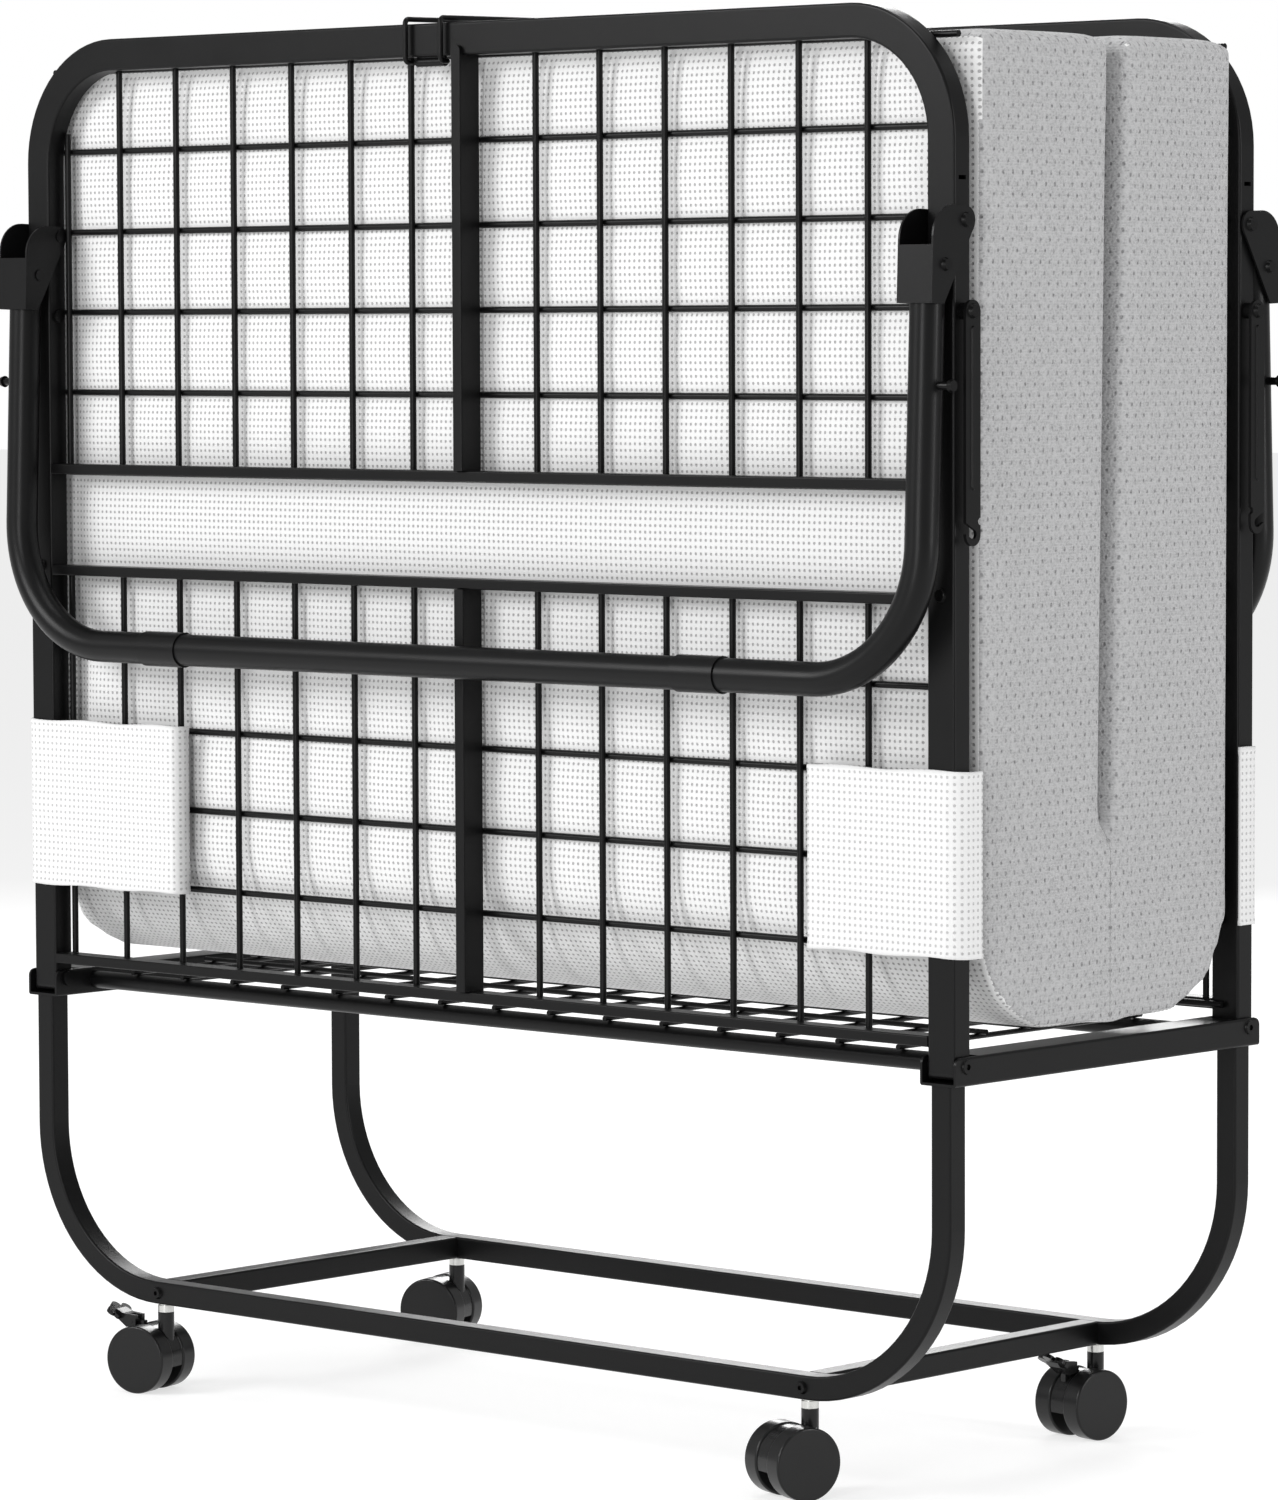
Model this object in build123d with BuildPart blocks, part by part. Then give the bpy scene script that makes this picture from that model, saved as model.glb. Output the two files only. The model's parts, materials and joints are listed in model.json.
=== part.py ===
"""Rollaway folding bed, stored folded upright on its wheeled base.

X runs across the bed, Y through the fold (front panel at -Y), Z up, floor at Z = 0.
Each rear piece is the front piece turned half a turn about Z.
"""
import os
from math import acos, atan2, cos, radians, sin, sqrt

from build123d import *

os.makedirs("parts", exist_ok=True)

# ---------------------------------------------------------------- driving dimensions
bed_width = 965.0            # over the outer faces of the panel side rails
panel_gap = 350.0            # over the outer faces of the two folded panels
top_height = 1077.0          # top of the folded panels
hinge_z = 324.0              # fold hinges above the floor

rail_w = 25.0                # panel rail, across the bed
rail_d = 18.0                # panel rail, through the fold
rail_wall = 1.5
rail_round = 2.0
corner_r = 84.5              # centreline radius of the head bends

splice_z = 646.0             # joint between the head frame and the lower rails
splice_len = 40.0
splice_fit = 0.15

bar_h = 8.0                  # cross bars
bar_wall = 1.2
foot_bar_z = 336.8
mid_bar_z = 650.5
head_bar_z = 731.8

wire_d = 5.0
wire_pitch = 65.0
edge_wire_x = 451.0
row_pitch = 64.0
weld = 0.3                   # how far crossing wires sink into each other

centre_bar_w = 9.6
centre_bar_proud = 3.5

side_rail_w = 33.0           # base side rails
side_rail_h = 21.0
side_rail_z = 310.0
side_rail_wall = 2.0
side_rail_end = 178.3        # half length
side_rail_round = 6.0        # upper end corners, clear of the turning foot crossbar
notch_len = 27.3             # top wall cut away over the panel rail

leg_tube = 18.0              # square tube of the base
base_leg_x = 470.3
base_leg_y = 167.0
base_bar_z = 80.0
base_bend_r = 126.0
floor_bar_x = 340.0

deck_beam_d = 14.0
deck_beam_y = 135.0
deck_wire_d = 4.0
deck_pitch = 57.5

pivot_z = 922.0              # folding leg pivot
leg_tilt = 2.0               # degrees the folded leg stands off the panel
leg_d = 25.0
leg_wall = 1.2
leg_off = 21.5               # tube centreline from its pivot, away from the panel
leg_reach = 326.4            # pivot to the centreline of the foot run
leg_bend_r = 98.0
leg_top = 24.0
sleeve_d = 27.6
sleeve_len = 38.0
sleeve_bore = 25.2
left_joint_x = -278.0
right_joint_x = 286.0

sheet = 1.6                  # leg bracket sheet
bracket_gap = 2.0            # between a rail's side and a bracket flange
boss_r = 10.0
inner_boss_r = 7.6           # inner flanges turn clear of the crossing wires
bracket_foot = 59.5
web_top = 18.6

bolt_d = 6.0
run_fit = 0.05               # radial clearance of everything that turns
link_z = 858.0
link_x = 490.0               # inner face of the brace links
link_t = 2.5
link_w = 16.0
notch_reach = 156.7          # link pivot to the notch that takes the leg's stud
stud_down = 117.0            # stud below the leg pivot

wheel_d = 54.0
wheel_out = 23.5             # outer face of a wheel from the caster's middle
wheel_in = 7.2
caster_trail = 15.0
caster_x = 340.0
stem_d = 8.0
hood_top = 64.0

mattress_half = 149.7        # thickness of one half
mattress_x = 489.0           # half width
mattress_top = 1063.0
fold_top = 479.0
fold_bottom = 336.4
fold_r = 85.0

strap_t = 2.0
strap_low = 401.0
strap_high = 534.0

rail_y = panel_gap / 2 - rail_d / 2          # panel mid plane, distance from the middle
rail_x = bed_width / 2 - rail_w / 2
face_y = panel_gap / 2
back_y = face_y - rail_d
wire_y = back_y + wire_d / 2                 # upright wires, inside the frame
row_y = back_y - wire_d / 2                  # crossing wires, on the back of the frame

ALONG_X = (1, 0, 0)
UP = (0, 0, 1)


# ---------------------------------------------------------------- saving
def save(part, name):
    part.label = name
    export_step(part, f"parts/{name}.step")


def save_both(part, name):
    for side, turn in (("front", 0), ("rear", 180)):
        save(part.rotate(Axis.Z, turn), f"{side}_{name}")


def x_plane(x, y, z):
    """Sketch plane across X: local x runs along +Y, local y runs up."""
    return Plane(origin=(x, y, z), x_dir=(0, 1, 0), z_dir=ALONG_X)


def tube_profile(width, depth, wall, radius):
    RectangleRounded(width, depth, radius)
    RectangleRounded(width - 2 * wall, depth - 2 * wall, max(radius - wall, 0.4),
                     mode=Mode.SUBTRACT)


def ring_profile(outer, wall):
    Circle(outer / 2)
    Circle(outer / 2 - wall, mode=Mode.SUBTRACT)


# ---------------------------------------------------------------- wheeled base
with BuildPart() as base_leg:
    with BuildLine(Plane.XZ.offset(base_leg_y)) as base_leg_path:
        FilletPolyline((-base_leg_x, side_rail_z), (-base_leg_x, base_bar_z),
                       (base_leg_x, base_bar_z), (base_leg_x, side_rail_z),
                       radius=base_bend_r)
    with BuildSketch(Plane(origin=(-base_leg_x, -base_leg_y, side_rail_z), x_dir=ALONG_X,
                           z_dir=(0, 0, -1))):
        tube_profile(leg_tube, leg_tube, rail_wall, rail_round)
    sweep(path=base_leg_path.line)
    with Locations((-caster_x, -base_leg_y, base_bar_z - leg_tube / 2),
                   (caster_x, -base_leg_y, base_bar_z - leg_tube / 2)):
        Cylinder(stem_d / 2, 8, mode=Mode.SUBTRACT)
    with Locations((-floor_bar_x, -base_leg_y, base_bar_z),
                   (floor_bar_x, -base_leg_y, base_bar_z)):
        Cylinder(bolt_d / 2, leg_tube + 2, rotation=(90, 0, 0), mode=Mode.SUBTRACT)
save_both(base_leg.part, "base_leg")

floor_bar_end = base_leg_y - leg_tube / 2
plug_len = 10.0
with BuildPart() as floor_bars:
    for x in (-floor_bar_x, floor_bar_x):
        with BuildSketch(Plane(origin=(x, -floor_bar_end, base_bar_z), x_dir=ALONG_X,
                               z_dir=(0, 1, 0))):
            RectangleRounded(leg_tube, leg_tube, rail_round)
        extrude(amount=2 * floor_bar_end)
        with Locations((x, 0, base_bar_z)):
            Box(leg_tube - 2 * rail_wall, 2 * (floor_bar_end - plug_len),
                leg_tube - 2 * rail_wall, mode=Mode.SUBTRACT)
        with Locations((x, -floor_bar_end, base_bar_z), (x, floor_bar_end, base_bar_z)):
            Cylinder(bolt_d / 2, 2 * plug_len, rotation=(90, 0, 0), mode=Mode.SUBTRACT)
save(floor_bars.part, "floor_bars")

base_bolt_head = 10.0
with BuildPart() as base_bolts:
    for x in (-floor_bar_x, floor_bar_x):
        for s in (-1, 1):
            with BuildSketch(Plane(origin=(x, s * (floor_bar_end - 8), base_bar_z),
                                   x_dir=ALONG_X, z_dir=(0, s, 0))):
                Circle(bolt_d / 2)
            extrude(amount=8 + leg_tube)
            with BuildSketch(Plane(origin=(x, s * (base_leg_y + leg_tube / 2), base_bar_z),
                                   x_dir=ALONG_X, z_dir=(0, s, 0))):
                Circle(base_bolt_head / 2)
            extrude(amount=2.6, taper=22)
            with BuildSketch(Plane(origin=(x, s * (base_leg_y + leg_tube / 2 + 2.6), base_bar_z),
                                   x_dir=ALONG_X, z_dir=(0, s, 0))):
                RegularPolygon(2.0, 6)
            extrude(amount=-1.8, mode=Mode.SUBTRACT)
save(base_bolts.part, "base_bolts")

hinge_bolt_d = 8.0
side_rail_mid_z = side_rail_z + side_rail_h / 2
for side, sx in (("left", -1), ("right", 1)):
    with BuildPart() as side_rail:
        with BuildSketch(Plane(origin=(sx * rail_x, -side_rail_end, side_rail_mid_z),
                               x_dir=ALONG_X, z_dir=(0, 1, 0))):
            tube_profile(side_rail_w, side_rail_h, side_rail_wall, rail_round)
        extrude(amount=2 * side_rail_end)
        for sy in (-1, 1):
            with Locations((sx * rail_x, sy * (side_rail_end - notch_len / 2),
                            side_rail_z + side_rail_h)):
                Box(side_rail_w - 2 * side_rail_wall, notch_len, 4 * side_rail_wall,
                    mode=Mode.SUBTRACT)
        with Locations((sx * rail_x, -rail_y, hinge_z), (sx * rail_x, rail_y, hinge_z)):
            Cylinder(hinge_bolt_d / 2, side_rail_w + 2, rotation=(0, 90, 0),
                     mode=Mode.SUBTRACT)
        for sy in (-1, 1):
            with BuildSketch(x_plane(sx * rail_x, sy * side_rail_end,
                                     side_rail_z + side_rail_h)):
                with BuildLine():
                    Line((-sy * side_rail_round, 0), (-sy * side_rail_round, 1))
                    Line((-sy * side_rail_round, 1), (sy, 1))
                    Line((sy, 1), (sy, -side_rail_round))
                    Line((sy, -side_rail_round), (0, -side_rail_round))
                    RadiusArc((0, -side_rail_round), (-sy * side_rail_round, 0),
                              -sy * side_rail_round)
                make_face()
            extrude(amount=side_rail_w, both=True, mode=Mode.SUBTRACT)
    save(side_rail.part, f"{side}_side_rail")

hinge_gap = (side_rail_w - 2 * side_rail_wall - rail_w) / 2
with BuildPart() as hinge_bolts:
    for sx in (-1, 1):
        for sy in (-1, 1):
            inner = rail_x - side_rail_w / 2
            with BuildSketch(x_plane(sx * inner, sy * rail_y, hinge_z)):
                Circle(hinge_bolt_d / 2)
            extrude(amount=sx * side_rail_w)
            with BuildSketch(x_plane(sx * (inner + side_rail_wall), sy * rail_y, hinge_z)):
                Circle(7)
            extrude(amount=sx * (hinge_gap - 0.2))
            with BuildSketch(x_plane(sx * (inner + side_rail_w - side_rail_wall),
                                     sy * rail_y, hinge_z)):
                Circle(7)
            extrude(amount=-sx * (hinge_gap - 0.2))
            with BuildSketch(x_plane(sx * (inner + side_rail_w), sy * rail_y, hinge_z)):
                Circle(5.5)
            extrude(amount=sx * 1.6, taper=20)
            with BuildSketch(x_plane(sx * (inner + side_rail_w + 1.6), sy * rail_y, hinge_z)):
                RegularPolygon(2.4, 6)
            extrude(amount=-sx * 1.5, mode=Mode.SUBTRACT)
            with BuildSketch(x_plane(sx * inner, sy * rail_y, hinge_z)):
                Circle(6)
            extrude(amount=-sx * 3)
save(hinge_bolts.part, "hinge_bolts")

deck_beam_z = 321.0
beam_len = 2 * (rail_x - side_rail_w / 2)
with BuildPart() as deck_beams:
    for y in (-deck_beam_y, deck_beam_y):
        with BuildSketch(x_plane(-beam_len / 2, y, deck_beam_z)):
            ring_profile(deck_beam_d, 1.2)
        extrude(amount=beam_len)
save(deck_beams.part, "deck_beams")

deck_wire_z = deck_beam_z + deck_beam_d / 2 + deck_wire_d / 2
with BuildPart() as deck_mesh:
    with Locations(*[(deck_pitch * k, 0, deck_wire_z) for k in range(-7, 8)]):
        Cylinder(deck_wire_d / 2, 284, rotation=(90, 0, 0))
    with Locations(*[(0, 52.0 * k, deck_wire_z + deck_wire_d - weld) for k in range(-2, 3)]):
        Cylinder(deck_wire_d / 2, deck_pitch * 14 + 18, rotation=(0, 90, 0))
save(deck_mesh.part, "deck_mesh")

# ---------------------------------------------------------------- panels
panel_plane = Plane.XZ.offset(rail_y)
with BuildPart() as head_frame:
    with BuildLine(panel_plane) as head_path:
        FilletPolyline((-rail_x, splice_z), (-rail_x, top_height - rail_w / 2),
                       (rail_x, top_height - rail_w / 2), (rail_x, splice_z),
                       radius=corner_r)
    with BuildSketch(Plane(origin=(-rail_x, -rail_y, splice_z), x_dir=ALONG_X, z_dir=UP)):
        tube_profile(rail_w, rail_d, rail_wall, rail_round)
    sweep(path=head_path.line)
    with Locations((-rail_x, -rail_y, pivot_z), (rail_x, -rail_y, pivot_z),
                   (-rail_x, -rail_y, link_z), (rail_x, -rail_y, link_z)):
        Cylinder(bolt_d / 2, rail_w + 2, rotation=(0, 90, 0), mode=Mode.SUBTRACT)
    with Locations((-rail_x, -rail_y, splice_z + 12), (rail_x, -rail_y, splice_z + 12)):
        Cylinder(bolt_d / 2, rail_d + 2, rotation=(90, 0, 0), mode=Mode.SUBTRACT)
    with Locations((-bed_width / 2, -rail_y, 951.8), (bed_width / 2, -rail_y, 951.8)):
        Box(2 * rail_wall + 1, 8, 3, mode=Mode.SUBTRACT)
save_both(head_frame.part, "head_frame")

rail_foot = hinge_z - 11.0
foot_r = 6.0
with BuildPart() as lower_rails:
    for x in (-rail_x, rail_x):
        with BuildSketch(Plane(origin=(x, -rail_y, rail_foot), x_dir=ALONG_X, z_dir=UP)):
            tube_profile(rail_w, rail_d, rail_wall, rail_round)
        extrude(amount=splice_z - rail_foot)
        neck_w = rail_w - 2 * rail_wall - 2 * splice_fit
        neck_d = rail_d - 2 * rail_wall - 2 * splice_fit
        with BuildSketch(Plane(origin=(x, -rail_y, splice_z - 6), x_dir=ALONG_X, z_dir=UP)):
            tube_profile(neck_w, neck_d, rail_wall, 1.9)
        extrude(amount=splice_len + 6)
        with BuildSketch(Plane(origin=(x, -rail_y, splice_z - 3), x_dir=ALONG_X, z_dir=UP)):
            RectangleRounded(rail_w - 1, rail_d - 1, 1.6)
            RectangleRounded(neck_w - 2 * rail_wall, neck_d - 2 * rail_wall, 0.4,
                             mode=Mode.SUBTRACT)
        extrude(amount=3)
        # heel rounded so that it turns clear of the side rail's floor
        with BuildSketch(x_plane(x - rail_w, -face_y, rail_foot)):
            with BuildLine():
                Line((-1, -1), (foot_r, -1))
                Line((foot_r, -1), (foot_r, 0))
                RadiusArc((foot_r, 0), (0, foot_r), foot_r)
                Line((0, foot_r), (-1, foot_r))
                Line((-1, foot_r), (-1, -1))
            make_face()
        extrude(amount=2 * rail_w, mode=Mode.SUBTRACT)
        with Locations((x, -rail_y, hinge_z)):
            Cylinder(hinge_bolt_d / 2 + run_fit, rail_w + 2, rotation=(0, 90, 0),
                     mode=Mode.SUBTRACT)
        with Locations((x, -rail_y, splice_z + 12)):
            Cylinder(bolt_d / 2, rail_d + 2, rotation=(90, 0, 0), mode=Mode.SUBTRACT)
save_both(lower_rails.part, "lower_rails")

bar_len = bed_width - 2 * rail_w
for name, z in (("foot_crossbar", foot_bar_z), ("mid_crossbar", mid_bar_z),
                ("head_crossbar", head_bar_z)):
    with BuildPart() as crossbar:
        with BuildSketch(x_plane(-bar_len / 2, -rail_y, z + bar_h / 2)):
            tube_profile(rail_d, bar_h, bar_wall, 1.2)
        extrude(amount=bar_len)
    save_both(crossbar.part, name)

centre_front = face_y + centre_bar_proud
centre_depth = centre_front - back_y
under_top = top_height - rail_w
tongue_z = under_top + 3.0
with BuildPart() as centre_bars:
    for low, high in ((foot_bar_z + bar_h, mid_bar_z), (head_bar_z + bar_h, under_top)):
        with BuildSketch(Plane(origin=(0, -back_y - centre_depth / 2, low), x_dir=ALONG_X,
                               z_dir=UP)):
            tube_profile(centre_bar_w, centre_depth, bar_wall, 1.2)
        extrude(amount=high - low)
    with BuildSketch(Plane.XZ.offset(face_y)):
        with Locations((0, (under_top + tongue_z) / 2 - 1)):
            Rectangle(centre_bar_w, tongue_z - under_top + 2)
        with Locations((0, tongue_z)):
            Circle(centre_bar_w / 2)
    extrude(amount=centre_bar_proud)
save_both(centre_bars.part, "centre_bars")


def arch_z(x):
    """Height of the underside of the head frame above an upright wire."""
    straight = rail_x - corner_r
    inner_r = corner_r - rail_w / 2
    reach = abs(x) + wire_d / 2 - straight
    if reach <= 0:
        return under_top
    return top_height - rail_w / 2 - corner_r + sqrt(max(inner_r ** 2 - reach ** 2, 0.0))


wire_xs = [s * wire_pitch * k for k in range(1, 7) for s in (-1, 1)] + [-edge_wire_x, edge_wire_x]
row_len = bed_width - rail_w
for name, low, high, rows in (
        ("head_mesh", head_bar_z + bar_h, None, [733.0 + row_pitch * k for k in range(6)]),
        ("foot_mesh", foot_bar_z + bar_h, mid_bar_z,
         [foot_bar_z + 4 + (mid_bar_z + 4 - foot_bar_z - 4) / 5 * k for k in range(6)])):
    with BuildPart() as mesh:
        for x in wire_xs:
            top = arch_z(x) if high is None else high
            with BuildSketch(Plane(origin=(x, weld - wire_y, low), z_dir=UP)):
                Circle(wire_d / 2)
            extrude(amount=top - low)
        with Locations(*[(0, -row_y, z) for z in rows]):
            Cylinder(wire_d / 2, row_len, rotation=(0, 90, 0))
    save_both(mesh.part, name)

head_t = 2.9
with BuildPart() as panel_bolts:
    for sx in (-1, 1):
        flange_out = bed_width / 2 + bracket_gap + sheet
        flange_in = bed_width / 2 - rail_w - bracket_gap - sheet
        # leg pivot
        with BuildSketch(x_plane(sx * flange_in, -rail_y, pivot_z)):
            Circle(bolt_d / 2)
        extrude(amount=sx * (flange_out - flange_in))
        for start, length in ((bed_width / 2, bracket_gap - 0.2),
                              (bed_width / 2 - rail_w, -(bracket_gap - 0.2))):
            with BuildSketch(x_plane(sx * start, -rail_y, pivot_z)):
                Circle(6)
            extrude(amount=sx * length)
        with BuildSketch(x_plane(sx * (flange_out + 0.1), -rail_y, pivot_z)):
            Circle(5.5)
        extrude(amount=sx * (head_t - 0.2), taper=20)
        with BuildSketch(x_plane(sx * flange_out, -rail_y, pivot_z)):
            Circle(bolt_d / 2)
        extrude(amount=sx * 0.5)
        with BuildSketch(x_plane(sx * (flange_in - 0.1), -rail_y, pivot_z)):
            Circle(4.5)
        extrude(amount=-sx * 0.8)
        with BuildSketch(x_plane(sx * flange_in, -rail_y, pivot_z)):
            Circle(bolt_d / 2)
        extrude(amount=-sx * 0.5)
        # brace pivot, with its long spacer
        with BuildSketch(x_plane(sx * (bed_width / 2 - rail_w), -rail_y, link_z)):
            Circle(bolt_d / 2)
        extrude(amount=sx * (link_x + link_t + 0.3 - bed_width / 2 + rail_w))
        with BuildSketch(x_plane(sx * bed_width / 2, -rail_y, link_z)):
            Circle(6)
        extrude(amount=sx * (link_x - 0.1 - bed_width / 2))
        with BuildSketch(x_plane(sx * (link_x + link_t + 0.1), -rail_y, link_z)):
            Circle(5.5)
        extrude(amount=sx * head_t, taper=20)
        with BuildSketch(x_plane(sx * (bed_width / 2 - rail_w), -rail_y, link_z)):
            Circle(5.0)
        extrude(amount=-sx * 2.4)
        # splice bolt, from the front
        with BuildSketch(Plane(origin=(sx * rail_x, -back_y, splice_z + 12), x_dir=ALONG_X,
                               z_dir=(0, -1, 0))):
            Circle(bolt_d / 2)
        extrude(amount=rail_d)
        with BuildSketch(Plane(origin=(sx * rail_x, -face_y, splice_z + 12), x_dir=ALONG_X,
                               z_dir=(0, -1, 0))):
            Circle(5.0)
        extrude(amount=2.2, taper=22)
save_both(panel_bolts.part, "panel_bolts")

# ---------------------------------------------------------------- folding legs
tilt = radians(leg_tilt)
out_dir = (0, -cos(tilt), sin(tilt))
leg_up = (0, sin(tilt), cos(tilt))
leg_plane = Plane(origin=(0, -rail_y, pivot_z), x_dir=ALONG_X, z_dir=out_dir)
tube_plane = leg_plane.offset(leg_off)


def leg_point(x, up, out=leg_off):
    return leg_plane.from_local_coords((x, up, out))


def across(x):
    """Sketch plane across the foot run at a given X, centred on the tube."""
    return Plane(origin=leg_point(x, -leg_reach), x_dir=leg_up, z_dir=ALONG_X)


for name, sx, end in (("left", -1, left_joint_x), ("right", 1, right_joint_x - sleeve_len + 4)):
    with BuildPart() as leg_side:
        inner_end = end - sleeve_len if name == "left" else end
        with BuildLine(tube_plane) as leg_path:
            FilletPolyline((sx * rail_x, -leg_top), (sx * rail_x, -leg_reach),
                           (inner_end, -leg_reach), radius=leg_bend_r)
        with BuildSketch(Plane(origin=leg_point(sx * rail_x, -leg_top), x_dir=ALONG_X,
                               z_dir=tuple(-c for c in leg_up))):
            ring_profile(leg_d, leg_wall)
        sweep(path=leg_path.line)
        if name == "left":
            with BuildSketch(across(inner_end - 4)):
                Circle(sleeve_d / 2)
                Circle(leg_d / 2 - leg_wall, mode=Mode.SUBTRACT)
            extrude(amount=5)
            with BuildSketch(across(inner_end)):
                Circle(sleeve_d / 2)
                Circle(sleeve_bore / 2, mode=Mode.SUBTRACT)
            extrude(amount=sleeve_len)
        with Locations(Location(leg_point(sx * rail_x, -32.0))):
            Cylinder(bolt_d / 2, leg_d + 2, rotation=(0, 90, 0), mode=Mode.SUBTRACT)
        with Locations(Location(leg_point(sx * (rail_x + leg_d / 2), -stud_down))):
            Cylinder(bolt_d / 2, 6, rotation=(0, 90, 0), mode=Mode.SUBTRACT)
    save_both(leg_side.part, f"leg_{name}_bend")

with BuildPart() as leg_middle:
    with BuildSketch(across(left_joint_x - sleeve_len + 4)):
        ring_profile(leg_d, leg_wall)
    extrude(amount=right_joint_x - sleeve_len - left_joint_x + sleeve_len - 4)
    with BuildSketch(across(right_joint_x - sleeve_len - 4)):
        Circle(sleeve_d / 2)
        Circle(leg_d / 2 - leg_wall, mode=Mode.SUBTRACT)
    extrude(amount=5)
    with BuildSketch(across(right_joint_x - sleeve_len)):
        Circle(sleeve_d / 2)
        Circle(sleeve_bore / 2, mode=Mode.SUBTRACT)
    extrude(amount=sleeve_len)
save_both(leg_middle.part, "leg_middle")

web_out = leg_off + leg_d / 2 + sheet + 0.1
top_round = 22.5
foot_in = (22.0, -bracket_foot)
reach = sqrt(foot_in[0] ** 2 + foot_in[1] ** 2)
flange_plane = Plane(origin=(0, -rail_y, pivot_z), x_dir=out_dir, z_dir=(-1, 0, 0))
with BuildPart() as leg_brackets:
    for sx in (-1, 1):
        half = rail_w / 2 + bracket_gap + sheet
        for low_side, r in ((-1, inner_boss_r if sx > 0 else boss_r),
                            (1, boss_r if sx > 0 else inner_boss_r)):
            edge = sx * rail_x - half if low_side < 0 else sx * rail_x + half - sheet
            tangent = atan2(foot_in[1], foot_in[0]) - acos(r / reach)
            boss_end = (r * cos(tangent), r * sin(tangent))
            mid_turn = (radians(90) + tangent + 2 * radians(180)) / 2
            boss_mid = (r * cos(mid_turn), r * sin(mid_turn))
            with BuildSketch(flange_plane.offset(-edge)):
                with BuildLine():
                    Line(foot_in, (web_out, -bracket_foot))
                    Line((web_out, -bracket_foot), (web_out, r - top_round))
                    RadiusArc((web_out, r - top_round), (web_out - top_round, r), -top_round)
                    Line((web_out - top_round, r), (0, r))
                    ThreePointArc((0, r), boss_mid, boss_end)
                    Line(boss_end, foot_in)
                make_face()
                Circle(bolt_d / 2 + run_fit, mode=Mode.SUBTRACT)
                with Locations((leg_off, -32.0)):
                    Circle(bolt_d / 2, mode=Mode.SUBTRACT)
            extrude(amount=-sheet)
        with BuildSketch(leg_plane.offset(web_out - sheet)):
            with Locations((sx * rail_x, -(bracket_foot + web_top) / 2)):
                Rectangle(2 * half, bracket_foot - web_top)
        extrude(amount=sheet)
save_both(leg_brackets.part, "leg_brackets")

with BuildPart() as leg_bolts:
    for sx in (-1, 1):
        half = rail_w / 2 + bracket_gap + sheet
        for centre, up, start, end in ((rail_x, -32.0, -half, half),):
            with BuildSketch(Plane(origin=leg_point(sx * (rail_x - half), up), x_dir=leg_up,
                                   z_dir=(sx, 0, 0))):
                Circle(bolt_d / 2)
            extrude(amount=2 * half)
            for side, step in ((rail_x - rail_w / 2 - bracket_gap, bracket_gap),
                               (rail_x + rail_w / 2, bracket_gap)):
                with BuildSketch(Plane(origin=leg_point(sx * side, up), x_dir=leg_up,
                                       z_dir=(sx, 0, 0))):
                    Circle(4.2)
                extrude(amount=step)
            with BuildSketch(Plane(origin=leg_point(sx * (rail_x + half), up), x_dir=leg_up,
                                   z_dir=(sx, 0, 0))):
                Circle(5.0)
            extrude(amount=head_t, taper=20)
            with BuildSketch(Plane(origin=leg_point(sx * (rail_x - half), up), x_dir=leg_up,
                                   z_dir=(-sx, 0, 0))):
                Circle(4.5)
            extrude(amount=1.2)
        # stud that the brace hooks over
        tip = link_x + link_t + 0.4
        with BuildSketch(Plane(origin=leg_point(sx * (rail_x + leg_d / 2 - 2), -stud_down),
                               x_dir=leg_up, z_dir=(sx, 0, 0))):
            Circle(bolt_d / 2)
        extrude(amount=tip - (rail_x + leg_d / 2 - 2))
        with BuildSketch(Plane(origin=leg_point(sx * tip, -stud_down), x_dir=leg_up,
                               z_dir=(sx, 0, 0))):
            Circle(4.6)
        extrude(amount=3.0, taper=12)
save_both(leg_bolts.part, "leg_bolts")

# ---------------------------------------------------------------- brace links
link_tip = notch_reach + 0.3
hook_turn = 152.5            # slant of the hook's slot, open on its leading edge
hook_len = 12.0
hook_w = 7.0
for name, sx in (("left", -1), ("right", 1)):
    with BuildPart() as link:
        with BuildSketch(x_plane(sx * link_x, -rail_y, link_z)):
            with Locations((0, -link_tip / 2)):
                SlotOverall(link_tip + link_w, link_w, rotation=90)
            Circle(bolt_d / 2 + run_fit, mode=Mode.SUBTRACT)
            with Locations((0, -notch_reach)):
                Circle(hook_w / 2, mode=Mode.SUBTRACT)
            with Locations(Location((hook_len / 2 * cos(radians(hook_turn)),
                                     hook_len / 2 * sin(radians(hook_turn)) - notch_reach, 0),
                                    (0, 0, hook_turn))):
                Rectangle(hook_len, hook_w, mode=Mode.SUBTRACT)
            with Locations((link_w / 2, -notch_reach + 9.0)):
                Circle(2.6, mode=Mode.SUBTRACT)
        extrude(amount=sx * link_t)
        # pressed rib
        with BuildSketch(x_plane(sx * (link_x + link_t - 0.2), -rail_y, link_z)):
            with Locations((0, -68.0)):
                SlotOverall(116, 5.0, rotation=90)
        extrude(amount=sx * 1.4, taper=30)
    save_both(link.part, f"{name}_link")

# ---------------------------------------------------------------- latch on the head rail
bail_y = 170.0
bail_z = 1048.0
bail_wire = 4.0
bail_left = -51.0
bail_right = -14.0
sleeve_half = 14.4
mid_x = (bail_left + bail_right) / 2
with BuildPart() as latch_sleeve:
    with BuildSketch(x_plane(mid_x - sleeve_half, -bail_y, bail_z)):
        Circle(3.4)
    extrude(amount=2 * sleeve_half)
    with Locations((mid_x, -bail_y, (bail_z + under_top) / 2 + 0.4)):
        Box(2 * sleeve_half, 3.0, under_top - bail_z - 0.8)
    with BuildSketch(x_plane(mid_x - sleeve_half - 1, -bail_y, bail_z)):
        Circle(bail_wire / 2 + run_fit)
    extrude(amount=2 * sleeve_half + 2, mode=Mode.SUBTRACT)
save(latch_sleeve.part, "latch_sleeve")

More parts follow.
